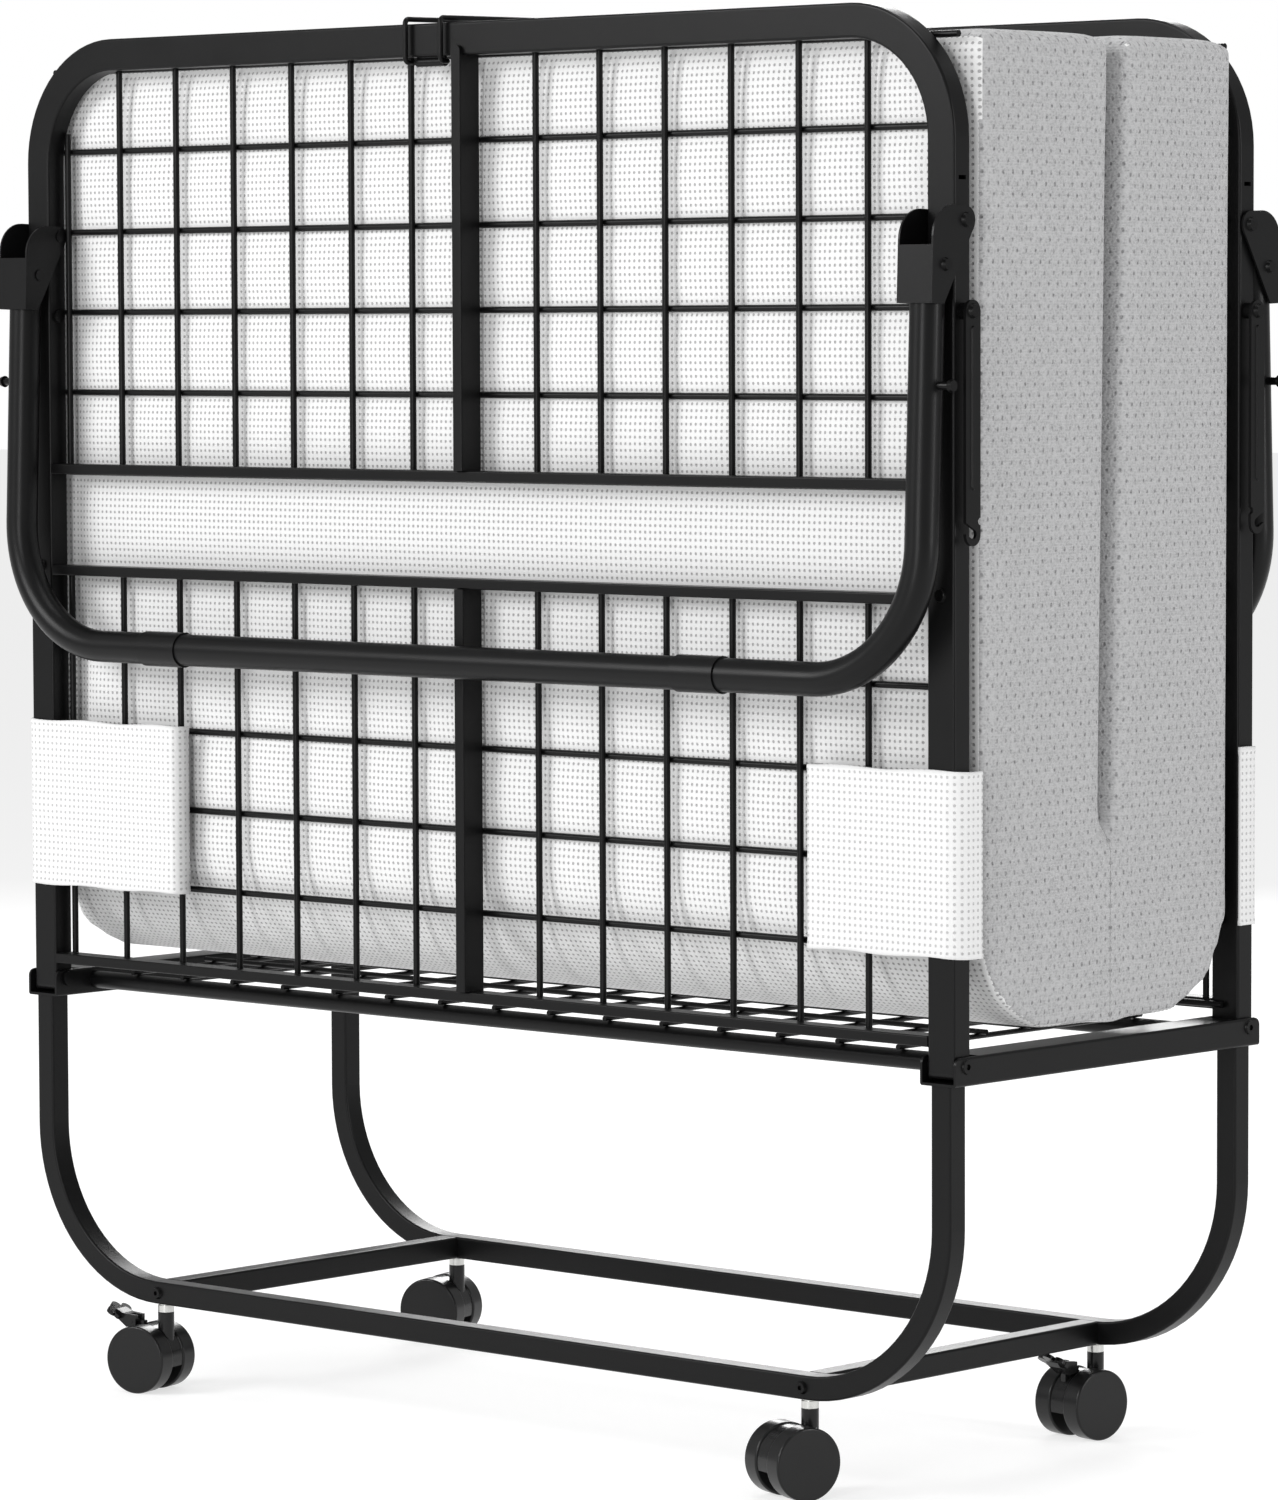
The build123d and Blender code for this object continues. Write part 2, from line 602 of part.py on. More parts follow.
front_run = 179.5
over_z = 1080.5
rear_z = 1084.8
with BuildPart() as latch_bail:
    for x, inward in ((bail_left, 1), (bail_right, -1)):
        with BuildLine() as bail_path:
            FilletPolyline((x + inward * 15.0, -bail_y, bail_z), (x, -bail_y, bail_z),
                           (x, -front_run, bail_z), (x, -front_run, over_z),
                           (x, 172.0, rear_z), (x, 181.0, 1080.3), (mid_x, 181.0, 1080.3),
                           radius=3.6)
        with BuildSketch(x_plane(x + inward * 15.0, -bail_y, bail_z)):
            Circle(bail_wire / 2)
        sweep(path=bail_path.line)
save(latch_bail.part, "latch_bail")

# ---------------------------------------------------------------- casters
casters = (("front_left", -1, -1, 192.0, True), ("front_right", 1, -1, 252.4, False),
           ("rear_left", -1, 1, 196.0, False), ("rear_right", 1, 1, 262.0, True))
wheel_r = wheel_d / 2
web_half = wheel_in - 0.4
lug_out = 15.0
lug_z = 54.5
with BuildPart() as caster_stems:
    for _, sx, sy, _, _ in casters:
        with Locations((sx * caster_x, sy * base_leg_y, 0)):
            with Locations((0, 0, 61.0)):
                Cylinder(stem_d / 2, 28.0)
            with Locations((0, 0, hood_top + 3.0)):
                Cylinder(6.4, 5.4)
            with Locations((0, 0, hood_top + 6.3)):
                Cylinder(5.2, 1.4)
save(caster_stems.part, "caster_stems")

for name, sx, sy, turn, brake in casters:
    spot = Location((sx * caster_x, sy * base_leg_y, 0), (0, 0, turn))
    with BuildPart() as hood:
        # caster frame: X is the trail direction, Y is the axle, the stem is at the origin
        with BuildSketch(Plane.XZ.offset(-web_half)):
            with Locations((caster_trail, wheel_r)):
                Circle(wheel_r - 1.2)
            with Locations((caster_trail, wheel_r - 24.0)):
                Rectangle(2 * wheel_d, 36.0, mode=Mode.SUBTRACT)
            with Locations((caster_trail, wheel_r)):
                Circle(9.0)
        extrude(amount=2 * web_half)
        with Locations((0, 0, (hood_top + 34.0) / 2)):
            Cylinder(6.5, hood_top - 34.0)
        with Locations((caster_trail, 0, wheel_r)):
            Cylinder(3.0, 2 * wheel_out - 5.0, rotation=(90, 0, 0))
        with Locations((0, 0, (hood_top + 46.9) / 2)):
            Cylinder(stem_d / 2 + run_fit, hood_top - 46.9 + 0.1, mode=Mode.SUBTRACT)
        if brake:
            with Locations((caster_trail + lug_out - 3, 0, lug_z - 7)):
                Box(14, 5.0, 16)
            with Locations((caster_trail + lug_out, 0, lug_z)):
                Cylinder(4.0, 5.0, rotation=(90, 0, 0))
                Cylinder(1.6, 2 * web_half, rotation=(90, 0, 0))
    save(hood.part.moved(spot), f"{name}_caster_hood")

    with BuildPart() as wheels:
        for s in (-1, 1):
            with BuildSketch(Plane.XZ.offset(s * wheel_in)):
                with Locations((caster_trail, wheel_r)):
                    Circle(wheel_r)
                    Circle(3.0 + run_fit, mode=Mode.SUBTRACT)
            extrude(amount=s * (wheel_out - wheel_in))
        fillet(wheels.edges().filter_by(GeomType.CIRCLE).filter_by(
            lambda e: abs(e.radius - wheel_r) < 0.01), 1.6)
        for s in (-1, 1):
            with BuildSketch(Plane.XZ.offset(s * (wheel_out - 2.2))):
                with Locations((caster_trail, wheel_r)):
                    Circle(4.0)
            extrude(amount=s * 2.2)
    save(wheels.part.moved(spot), f"{name}_wheels")

    if brake:
        with BuildPart() as lever:
            with BuildSketch(Plane.XZ.offset(-web_half + 0.2)):
                with BuildLine():
                    Polyline((caster_trail + lug_out - 4.6, lug_z - 3.5),
                             (caster_trail + lug_out + 4.4, lug_z - 4.5),
                             (caster_trail + lug_out + 13.0, lug_z + 2.0),
                             (caster_trail + lug_out + 17.0, lug_z + 7.5),
                             (caster_trail + lug_out + 13.5, lug_z + 9.5),
                             (caster_trail + lug_out + 7.5, lug_z + 6.5),
                             (caster_trail + lug_out - 4.6, lug_z + 5.2), close=True)
                make_face()
            extrude(amount=2 * (web_half - 0.2))
            with Locations(Location((caster_trail + lug_out + 13.2, 0, lug_z + 6.0),
                                    (0, -35, 0))):
                Box(10.0, 22.0, 3.0)
                with Locations((3.0, -9.0, 0), (3.0, 9.0, 0), (7.0, 0, 0)):
                    Cylinder(4.6, 3.0)
            with Locations((caster_trail + lug_out - 2, 0, lug_z - 2)):
                Box(14.4, 5.4, 16, mode=Mode.SUBTRACT)
            with Locations((caster_trail + lug_out, 0, lug_z)):
                Cylinder(1.6 + run_fit, 2 * web_half + 2, rotation=(90, 0, 0),
                         mode=Mode.SUBTRACT)
        save(lever.part.moved(spot), f"{name}_brake")

# ---------------------------------------------------------------- mattress and its straps
fold_gap = 0.5
with BuildPart() as mattress_half_slab:
    with Locations((0, -(mattress_half + fold_gap) / 2, (mattress_top + fold_top + 1) / 2)):
        Box(2 * mattress_x, mattress_half - fold_gap, mattress_top - fold_top - 1)
    fillet(mattress_half_slab.edges().group_by(Axis.Z)[-1], 10)
save_both(mattress_half_slab.part, "mattress_half")

with BuildPart() as mattress_fold:
    with Locations((0, 0, (fold_top + fold_bottom) / 2)):
        Box(2 * mattress_x, 2 * mattress_half, fold_top - fold_bottom)
    fillet(mattress_fold.edges().filter_by(Axis.X).group_by(Axis.Z)[0], fold_r)
save(mattress_fold.part, "mattress_fold")

side_gap = 0.8
strap_back = mattress_half + 1.4
with BuildPart() as straps:
    for sx, inner in ((-1, 313.0), (1, 345.0)):
        outer = bed_width / 2 + side_gap + strap_t
        with BuildSketch(Plane(origin=(0, 0, strap_low), z_dir=UP)):
            with BuildLine():
                Polyline((sx * outer, -strap_back), (sx * outer, -face_y - side_gap - strap_t),
                         (sx * inner, -face_y - side_gap - strap_t),
                         (sx * inner, -back_y - 1.6),
                         (sx * (inner + strap_t), -back_y - 1.6),
                         (sx * (inner + strap_t), -face_y - side_gap),
                         (sx * (outer - strap_t), -face_y - side_gap),
                         (sx * (outer - strap_t), -strap_back), close=True)
            make_face()
        extrude(amount=strap_high - strap_low)
save_both(straps.part, "straps")
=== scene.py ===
"""Looks of the rollaway bed: painted frame, casters, mattress, straps, floor, light and camera."""

import json
import math

import bmesh
import bpy
import numpy as np
from mathutils import Matrix, Vector


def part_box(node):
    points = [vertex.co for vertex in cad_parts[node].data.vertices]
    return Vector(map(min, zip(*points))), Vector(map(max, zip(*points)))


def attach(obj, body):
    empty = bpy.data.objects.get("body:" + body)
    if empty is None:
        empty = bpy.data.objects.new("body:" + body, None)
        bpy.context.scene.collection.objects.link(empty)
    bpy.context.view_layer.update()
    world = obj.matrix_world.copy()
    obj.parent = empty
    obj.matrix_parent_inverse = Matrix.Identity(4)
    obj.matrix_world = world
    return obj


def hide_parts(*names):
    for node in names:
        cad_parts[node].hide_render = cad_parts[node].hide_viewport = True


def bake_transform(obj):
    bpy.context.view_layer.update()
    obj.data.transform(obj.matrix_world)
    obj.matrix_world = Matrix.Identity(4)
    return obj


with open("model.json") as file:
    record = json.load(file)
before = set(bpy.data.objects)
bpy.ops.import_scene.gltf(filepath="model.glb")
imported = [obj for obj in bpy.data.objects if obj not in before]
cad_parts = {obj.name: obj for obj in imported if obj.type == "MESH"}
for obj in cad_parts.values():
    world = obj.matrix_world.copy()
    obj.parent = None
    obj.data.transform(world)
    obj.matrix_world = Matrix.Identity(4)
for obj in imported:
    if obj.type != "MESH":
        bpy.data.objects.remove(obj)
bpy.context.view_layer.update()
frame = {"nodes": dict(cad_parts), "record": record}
NODES = frame["nodes"]


# ---------------------------------------------------------------- frame of the base and panels
# The base, the panels' frames and their crossbars are steel tube and bar, welded and then
# powder coated black. The coat has a fine orange peel and is a little uneven in gloss.
class Sock:
    """A node socket that does arithmetic by adding Math nodes."""

    def __init__(self, nodes, out):
        self.nodes = nodes
        self.out = out

    def op(self, kind, *others):
        return self.nodes.node("ShaderNodeMath", {"operation": kind},
                               dict(enumerate((self,) + others)))

    def reflected(self, kind, number):
        return self.nodes.node("ShaderNodeMath", {"operation": kind}, {0: number, 1: self})

    def __add__(self, other):
        return self.op("ADD", other)

    def __radd__(self, number):
        return self.reflected("ADD", number)

    def __sub__(self, other):
        return self.op("SUBTRACT", other)

    def __rsub__(self, number):
        return self.reflected("SUBTRACT", number)

    def __mul__(self, other):
        return self.op("MULTIPLY", other)

    def __rmul__(self, number):
        return self.reflected("MULTIPLY", number)

    def __truediv__(self, other):
        return self.op("DIVIDE", other)

    def __rtruediv__(self, number):
        return self.reflected("DIVIDE", number)

    def saw(self):
        """Distance from the nearest whole number, 0 to 0.5."""
        return self.op("PINGPONG", 0.5)

    def smooth(self, low, high):
        """0 at low and 1 at high, with a soft start and end."""
        return self.nodes.node("ShaderNodeMapRange", {"interpolation_type": "SMOOTHSTEP"},
                               {"Value": self, "From Min": low, "From Max": high}, "Result")


class Nodes:
    """A node tree, and the one method that adds any node to it."""

    def __init__(self, tree):
        self.tree = tree

    def node(self, kind, settings, sockets, out=0):
        """Adds a node: its settings first, then a value or a link for each socket."""
        node = self.tree.nodes.new(kind)
        for name, value in settings.items():
            setattr(node, name, value)
        for name, value in sockets.items():
            if isinstance(value, Sock):
                self.tree.links.new(value.out, node.inputs[name])
            else:
                node.inputs[name].default_value = value
        return Sock(self, node.outputs[out])


class Finish(Nodes):
    """A Principled material."""

    def __init__(self, name, colour, rough, metal=0.0, coat=0.0, sheen=0.0, specular=0.5):
        self.mat = bpy.data.materials.new(name)
        self.mat.use_nodes = True
        super().__init__(self.mat.node_tree)
        self.inputs = self.tree.nodes["Principled BSDF"].inputs
        for socket, value in (("Base Color", (*colour, 1)), ("Roughness", rough),
                              ("Metallic", metal), ("Coat Weight", coat),
                              ("Coat Roughness", 0.15), ("Sheen Weight", sheen),
                              ("Sheen Roughness", 0.5), ("Specular IOR Level", specular)):
            self.inputs[socket].default_value = value

    def drive(self, socket, value):
        self.tree.links.new(value.out, self.inputs[socket])

    def coords(self, kind):
        return self.node("ShaderNodeTexCoord", {}, {}, kind)

    def noise(self, scale, detail=2.0, kind="Object"):
        return self.node("ShaderNodeTexNoise", {},
                         {"Scale": scale, "Detail": detail, "Vector": self.coords(kind)}, "Fac")

    def bump(self, height, distance, strength):
        self.drive("Normal", self.node("ShaderNodeBump", {},
                                       {"Distance": distance, "Strength": strength,
                                        "Height": height}, "Normal"))

    def rough(self, factor, low, high):
        self.drive("Roughness", factor * (high - low) + low)


def powder_coat(name, grey, rough):
    """Black powder coat, very slightly blue."""
    coat = Finish(name, (grey, grey, grey * 1.04), rough, specular=0.16)
    orange_peel = coat.noise(1400.0, 3.0)
    coat.bump(orange_peel, 0.00012, 0.5)
    coat.rough(coat.noise(18.0), rough - 0.05, rough + 0.07)
    return coat.mat


def dress(slot, material):
    """Puts a material on every CAD node of one slot."""
    for part in frame["record"]["subparts"]:
        if part["material_slot"] == slot:
            mesh = NODES[part["node"]].data
            mesh.materials.clear()
            mesh.materials.append(material)


dress("frame_paint", powder_coat("frame_paint", 0.004, 0.33))

# ---------------------------------------------------------------- folding legs
# Each panel has a leg, a U of steel tube on flat brackets that turn on the panel's frame.
# It has the same black coat, a shade glossier.
dress("leg_paint", powder_coat("leg_paint", 0.005, 0.31))

# ---------------------------------------------------------------- wire grids and latch
# The grids of the base and the panels are steel wire, welded where it crosses, and the latch
# is a wire bail in a sleeve. All of it is coated black.
dress("wire", powder_coat("wire_paint", 0.003, 0.33))

# ---------------------------------------------------------------- bolts
# Steel bolts hold the base together and are the pins that the panels and legs turn on.
# They are black, and the smoothest of the black metal.
dress("bolt_black", powder_coat("bolt_black", 0.003, 0.28))

# ---------------------------------------------------------------- caster stems
# The stem of each caster is zinc plated steel, left bare.
# Its gloss is a little uneven.
zinc = Finish("zinc", (0.62, 0.62, 0.60), 0.28, metal=1.0)
zinc.rough(zinc.noise(300.0), 0.22, 0.38)
dress("zinc", zinc.mat)


# ---------------------------------------------------------------- caster hoods and wheels
# The hoods, brake tabs and wheels are moulded in black plastic, smooth from the mould.
# The wheels are a little duller than the rest.
def moulded(name, grey, rough):
    plastic = Finish(name, (grey, grey, grey * 1.03), rough, coat=0.12, specular=0.22)
    plastic.rough(plastic.noise(60.0), rough - 0.04, rough + 0.06)
    return plastic.mat


dress("hood_plastic", moulded("hood_plastic", 0.006, 0.24))
dress("wheel_plastic", moulded("wheel_plastic", 0.006, 0.30))


# ---------------------------------------------------------------- mattress
# One foam slab folded in two, its bend at the bottom. Its faces are pale knitted ticking
# with a square grid of sunken stitches, and its sides and ends are a grey pebbly border.
def axes(finish):
    """The two directions of a piece's UV map, in metres."""
    u = finish.node("ShaderNodeSeparateXYZ", {}, {0: finish.coords("UV")}, "X")
    return u, Sock(finish, u.out.node.outputs["Y"])


def tint(finish, factor, low, high):
    """Base Color from low to high."""
    finish.drive("Base Color", finish.node("ShaderNodeMix", {"data_type": "RGBA"},
                                           {"A": (*low, 1), "B": (*high, 1),
                                            "Factor": factor}, "Result"))


def ticking(name, light, dark, size, depth):
    """Pale knit with a square grid of sunken stitches, each a dot of the given size."""
    pitch = 0.005
    knit = Finish(name, (light,) * 3, 0.85, sheen=0.25, specular=0.25)
    u, v = axes(knit)
    du = (u / pitch).saw() * pitch
    dv = (v / pitch).saw() * pitch
    stitch = (du * du + dv * dv).op("SQRT").smooth(size, size * 0.45)
    yarn = knit.noise(900.0, 2.0, "UV")
    tint(knit, stitch * (yarn * 0.6 + 0.55), (light,) * 3, (dark,) * 3)
    knit.bump(yarn * 0.35 - stitch, depth, 0.8)
    return knit.mat


def border_knit():
    """Grey pebbly knit with staggered darker pinholes."""
    pitch = 0.0098                  # between pinholes
    slope = 0.62                    # the rows of pinholes cross at a slant
    course_pitch = 0.0021           # between rows of the knit
    knit = Finish("border", (0.42, 0.42, 0.425), 0.9, sheen=0.2, specular=0.2)
    u, v = axes(knit)
    wander = knit.noise(90.0, 1.0, "UV") * 0.0022
    a = ((u + v * slope + wander) / pitch).saw()
    b = ((u - v * slope + wander) / pitch).saw()
    pin = (a * a + b * b).op("SQRT").smooth(0.19, 0.05)
    pebble = knit.node("ShaderNodeTexVoronoi", {},
                       {"Scale": 430.0, "Vector": knit.coords("UV")}, "Distance")
    course = (v / course_pitch).saw() * 2.0
    yarn = knit.noise(800.0, 3.0, "UV")
    tone = pebble * 0.5 + yarn * 0.55 + course * 0.08 - pin * 0.42
    tint(knit, tone.smooth(-0.25, 0.8), (0.14, 0.14, 0.143), (0.445, 0.445, 0.45))
    knit.bump(pebble * 0.6 + yarn * 0.5 + course * 0.2 - pin * 0.8, 0.0012, 0.85)
    return knit.mat


TICKING = ticking("ticking", 0.70, 0.29, 0.0014, 0.0009)
BORDER = border_knit()
dress("ticking", TICKING)

half_low, half_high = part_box("front_mattress_half")
fold_low, fold_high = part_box("mattress_fold")
HALF_X = half_high[0]
FACE = -half_low[1]                 # outer face from the middle
TOP = half_high[2]
BOTTOM = fold_low[2]
SLIT = fold_high[2] + 0.002         # where the two halves part
FOLD_R = 0.085
FOLD_STEPS = 12
INSET = 0.0025                      # the shape is inflated from a little smaller
PAST_MIDDLE = 0.030                 # the half is made this far past the middle, then cut
SLIT_FACE = 0.0035                  # its face in the slit, from the middle
VOXEL = 0.009
CAP = 0.0035                        # the most that the stuffing pushes the cover out
CLOTH_STEPS = 20
CUT_Y = -0.0003
BEND = 0.0002                       # height of the bend, a slanting hairline above the slit's end
BEND_Z = SLIT + 0.016
SLIT_GAP = 0.0015                   # each half stays this far from the middle above the slit
HEM = 0.006                         # ticking turned over the rim of the side
SLIT_LEAN = 0.012                   # the slit wanders back towards the top

HEAD_WIRE_Z = 0.733                 # lowest wire of the head grid, and the spacing above it
HEAD_WIRE_PITCH = 0.064
FOOT_WIRE_Z = 0.3408                # lowest wire of the foot grid, and the spacing above it
FOOT_WIRE_PITCH = 0.06274
FOOT_WIRE_TOP = 0.6545              # between this wire and the head grid the face swells freely
UPRIGHT_PITCH = 0.065
GRID_X = 0.455                      # the grids end here on each side
SWELL_LEAST = 0.0006
SWELL_MOST = 0.0034


def add(name, verts, faces, *materials):
    mesh = bpy.data.meshes.new(name)
    mesh.from_pydata([tuple(v) for v in verts], [], faces)
    mesh.validate()
    for m in materials:
        mesh.materials.append(m)
    obj = bpy.data.objects.new(name, mesh)
    bpy.context.collection.objects.link(obj)
    return obj


def coords_of(obj):
    co = np.empty(len(obj.data.vertices) * 3)
    obj.data.vertices.foreach_get("co", co)
    return co.reshape(-1, 3)


def set_coords(obj, co):
    obj.data.vertices.foreach_set("co", np.asarray(co, float).ravel())
    obj.data.update()


def bake(obj):
    """Replaces the mesh by its evaluated mesh, with no modifiers left."""
    deps = bpy.context.evaluated_depsgraph_get()
    mesh = bpy.data.meshes.new_from_object(obj.evaluated_get(deps))
    old = obj.data
    obj.modifiers.clear()
    obj.data = mesh
    bpy.data.meshes.remove(old)


def face_outwards(obj):
    bm = bmesh.new()
    bm.from_mesh(obj.data)
    bmesh.ops.recalc_face_normals(bm, faces=bm.faces)
    bm.to_mesh(obj.data)
    bm.free()


def rise(value, start, run):
    """0 up to start, then straight up to 1 over the run."""
    return np.clip((value - start) / run, 0, 1)


def half_profile():
    """(y, z) outline of the front half, running past the middle below the slit."""
    face = -(FACE - INSET)
    low = BOTTOM + INSET
    pts = [(face, TOP - INSET)]
    centre = (face + FOLD_R, low + FOLD_R)
    for i in range(FOLD_STEPS + 1):
        a = math.radians(180 + 90 * i / FOLD_STEPS)
        pts.append((centre[0] + FOLD_R * math.cos(a), centre[1] + FOLD_R * math.sin(a)))
    pts += [(PAST_MIDDLE, low), (PAST_MIDDLE, SLIT - 0.004)]
    pts += [(-SLIT_FACE, SLIT), (-SLIT_FACE, TOP - INSET)]
    return pts


def inflate(obj, steps):
    """Blows the cover up a little, as a cloth held by its own stuffing."""
    rest = coords_of(obj)
    pin = obj.vertex_groups.new(name="pin")
    held = np.nonzero((rest[:, 1] > -0.004) & (rest[:, 2] < SLIT - 0.02))[0]
    pin.add([int(i) for i in held], 1.0, "REPLACE")
    mod = obj.modifiers.new("cloth", "CLOTH")
    mod.settings.use_pressure = True
    mod.settings.uniform_pressure_force = 4.0
    mod.settings.effector_weights.gravity = 0.0
    mod.settings.vertex_group_mass = "pin"
    mod.settings.quality = 4
    mod.settings.tension_stiffness = 25
    mod.settings.compression_stiffness = 25
    mod.settings.bending_stiffness = 2.0
    mod.point_cache.frame_start = 1
    mod.point_cache.frame_end = steps
    for f in range(1, steps + 1):
        bpy.context.scene.frame_set(f)
    bake(obj)
    bpy.context.scene.frame_set(1)
    moved = coords_of(obj) - rest
    length = np.linalg.norm(moved, axis=1, keepdims=True)
    moved *= np.minimum(1.0, CAP / np.maximum(length, 1e-9))
    set_coords(obj, rest + moved)


def ripple(t):
    """0 on a wire, 1 midway between wires, for t in wire spacings."""
    return np.abs(np.sin(math.pi * t)) ** 0.7


def press_on_mesh(co):
    """The outer face is held back by the wires and swells between them."""
    x, y, z = co.T
    on_face = rise(-y, FACE - 0.03, 0.03) ** 2
    on_face *= rise(z, BOTTOM + FOLD_R * 0.6, 0.06)
    free = (z > FOOT_WIRE_TOP) & (z < HEAD_WIRE_Z)
    swell_free = np.sin(rise(z, FOOT_WIRE_TOP, HEAD_WIRE_Z - FOOT_WIRE_TOP) * math.pi) ** 0.6
    held = np.where(z < HEAD_WIRE_Z, ripple((z - FOOT_WIRE_Z) / FOOT_WIRE_PITCH),
                    ripple((z - HEAD_WIRE_Z) / HEAD_WIRE_PITCH))
    rows = np.where(free, swell_free, held)
    cols = np.where(free, 1.0, ripple(x / UPRIGHT_PITCH))
    inside = np.clip((GRID_X - np.abs(x)) / 0.02, 0, 1)
    swell = (SWELL_LEAST + SWELL_MOST * rows * cols) * inside
    co[:, 1] = y - swell * on_face
    return co


def crease(co):
    """Where the halves meet, the border turns softly in towards the slit."""
    x, y, z = co.T.copy()
    # below the slit the halves run into each other, so both are flat where they meet
    joined = np.exp(-(y / 0.022) ** 2) * np.clip((SLIT - z) / 0.02, 0, 1)
    beside = (np.abs(y) > 0.03) & (np.abs(y) < 0.06) & (z < SLIT - 0.03)
    side = np.abs(x) > HALF_X - 0.012
    flat_x = np.median(np.abs(x[beside & side]))
    x = np.where(side, x + (np.sign(x) * flat_x - x) * joined, x)
    under = (z < BOTTOM + 0.012) & (np.abs(x) < HALF_X - 0.02)
    flat_z = np.median(z[beside & under])
    z = np.where(z < BOTTOM + 0.012, z + (np.maximum(flat_z, z) - z) * joined, z)
    # above it, the rims of the sides and of the top end round over into the slit
    near = np.exp(-(y / 0.010) ** 2)
    above = rise(z, SLIT - 0.012, 0.03)
    rim = rise(np.abs(x), HALF_X - 0.05, 0.05)
    co[:, 0] = x - np.sign(x) * 0.009 * above * near * rim
    co[:, 2] = z - 0.008 * near * rise(z, TOP - 0.05, 0.05)
    return co


def hem_distance(c):
    """How far a point of the side face is from the rim of the underside."""
    if c.z >= BOTTOM + FOLD_R:
        return c.y + FACE
    if c.y < FOLD_R - FACE:
        return FOLD_R - math.hypot(c.y + FACE - FOLD_R, c.z - BOTTOM - FOLD_R)
    return min(c.y + FACE, c.z - BOTTOM)


def along_ticking(p):
    """UV of the ticking, which runs down the face, round the fold and along the underside."""
    straight = BOTTOM + FOLD_R
    inner_y = -(FACE - FOLD_R)
    if p[2] > straight or p[1] > -0.012:
        return p[0], straight - p[2]
    if p[1] < inner_y:
        return p[0], FOLD_R * math.atan2(straight - p[2], inner_y - p[1])
    return p[0], FOLD_R * math.pi / 2 + p[1] - inner_y


def cover_of(c, n):
    """Material index and UV rule, in metres, of a face at c with normal n."""
    if abs(n.x) > 0.62 and abs(c.x) > HALF_X - 0.02 and hem_distance(c) > HEM:
        return 1, lambda p: (p[1], p[2])
    # the faces in the slit get the grey border as painted shade, so the crease between the halves
    # reads dark
    if n.y > 0.5 and c.z > SLIT - 0.01:
        return 1, lambda p: (p[0], p[2])
    if n.z > 0.62 and c.z > TOP - 0.02:
        return 1, lambda p: (p[0], p[1])
    return 0, along_ticking


def sew_cover(obj):
    """Border on the sides, the top end and, as painted shade in the crease, the faces in the slit;
    ticking on the rest.
    """
    obj.data.materials.append(TICKING)
    obj.data.materials.append(BORDER)
    uv = obj.data.uv_layers.new(name="UVMap")
    co = coords_of(obj)
    for poly in obj.data.polygons:
        poly.material_index, rule = cover_of(poly.center, poly.normal)
        for li, vi in zip(poly.loop_indices, poly.vertices):
            uv.data[li].uv = rule(co[vi])
        poly.use_smooth = True


def cut_at_middle(obj):
    """Cuts off what runs past the middle and closes the cut with a sharp rim."""
    bm = bmesh.new()
    bm.from_mesh(obj.data)
    cut = bmesh.ops.bisect_plane(bm, geom=bm.verts[:] + bm.edges[:] + bm.faces[:],
                                 plane_co=(0, CUT_Y, 0), plane_no=(0, 1, 0),
                                 clear_outer=True)
    rim = [e for e in cut["geom_cut"] if isinstance(e, bmesh.types.BMEdge)]
    for e in rim:
        e.smooth = False
    bmesh.ops.contextual_create(bm, geom=rim)
    bm.to_mesh(obj.data)
    bm.free()


def make_half():
    outline = half_profile()
    n = len(outline)
    side = HALF_X - INSET
    verts = [(x, y, z) for x in (-side, side) for y, z in outline]
    faces = [list(range(n))[::-1], list(range(n, 2 * n))]
    faces += [[i, (i + 1) % n, (i + 1) % n + n, i + n] for i in range(n)]
    obj = add("mattress_front", verts, faces)
    face_outwards(obj)
    mod = obj.modifiers.new("remesh", "REMESH")
    mod.mode = "VOXEL"
    mod.voxel_size = VOXEL
    bake(obj)
    inflate(obj, CLOTH_STEPS)
    smooth = obj.modifiers.new("smooth", "SMOOTH")
    smooth.factor = 0.5
    smooth.iterations = 5
    sub = obj.modifiers.new("sub", "SUBSURF")
    sub.levels = 1
    sub.render_levels = 1
    bake(obj)
    shaped = crease(press_on_mesh(coords_of(obj)))
    above_slit = shaped[:, 2] > SLIT + 0.006
    shaped[above_slit, 1] = np.minimum(shaped[above_slit, 1], -SLIT_GAP)
    set_coords(obj, shaped)
    cut_at_middle(obj)
    sew_cover(obj)
    return obj


def lean_slit(obj):
    """Leans the slit back towards the top, less and less towards the outer faces."""
    co = coords_of(obj)
    towards_top = rise(co[:, 2], SLIT - 0.05, TOP - SLIT)
    co[:, 1] += SLIT_LEAN * towards_top * (1 - np.clip(np.abs(co[:, 1]) / FACE, 0, 1))
    set_coords(obj, co)


def clear_of_bend(obj, sign):
    """No point lies inside the bend, so the foam spans it straight when the panel opens."""
    co = coords_of(obj)
    past = sign * co[:, 1] + co[:, 2] - BEND_Z
    inside = (past > -BEND / 2) & (past < 2.5 * BEND)
    co[inside, 2] += 2.6 * BEND - past[inside]
    set_coords(obj, co)


front = make_half()
rear = front.copy()
rear.data = front.data.copy()
rear.name = "mattress_rear"
bpy.context.collection.objects.link(rear)
turned = coords_of(rear)
turned[:, :2] *= -1
set_coords(rear, turned)

for obj, side, sign in ((front, "front", -1), (rear, "rear", 1)):
    lean_slit(obj)
    clear_of_bend(obj, sign)
    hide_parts(f"{side}_mattress_half", *(["mattress_fold"] if side == "front" else []))
    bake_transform(obj)

# ---------------------------------------------------------------- straps
# Each panel has two wide bands of a knit like the ticking, stretched over its lower rails.
# A band turns round the outside of a rail and has a stitched hem along its top and bottom.
STRAP = ticking("strap_knit", 0.70, 0.40, 0.0013, 0.0006)
dress("strap_knit", STRAP)

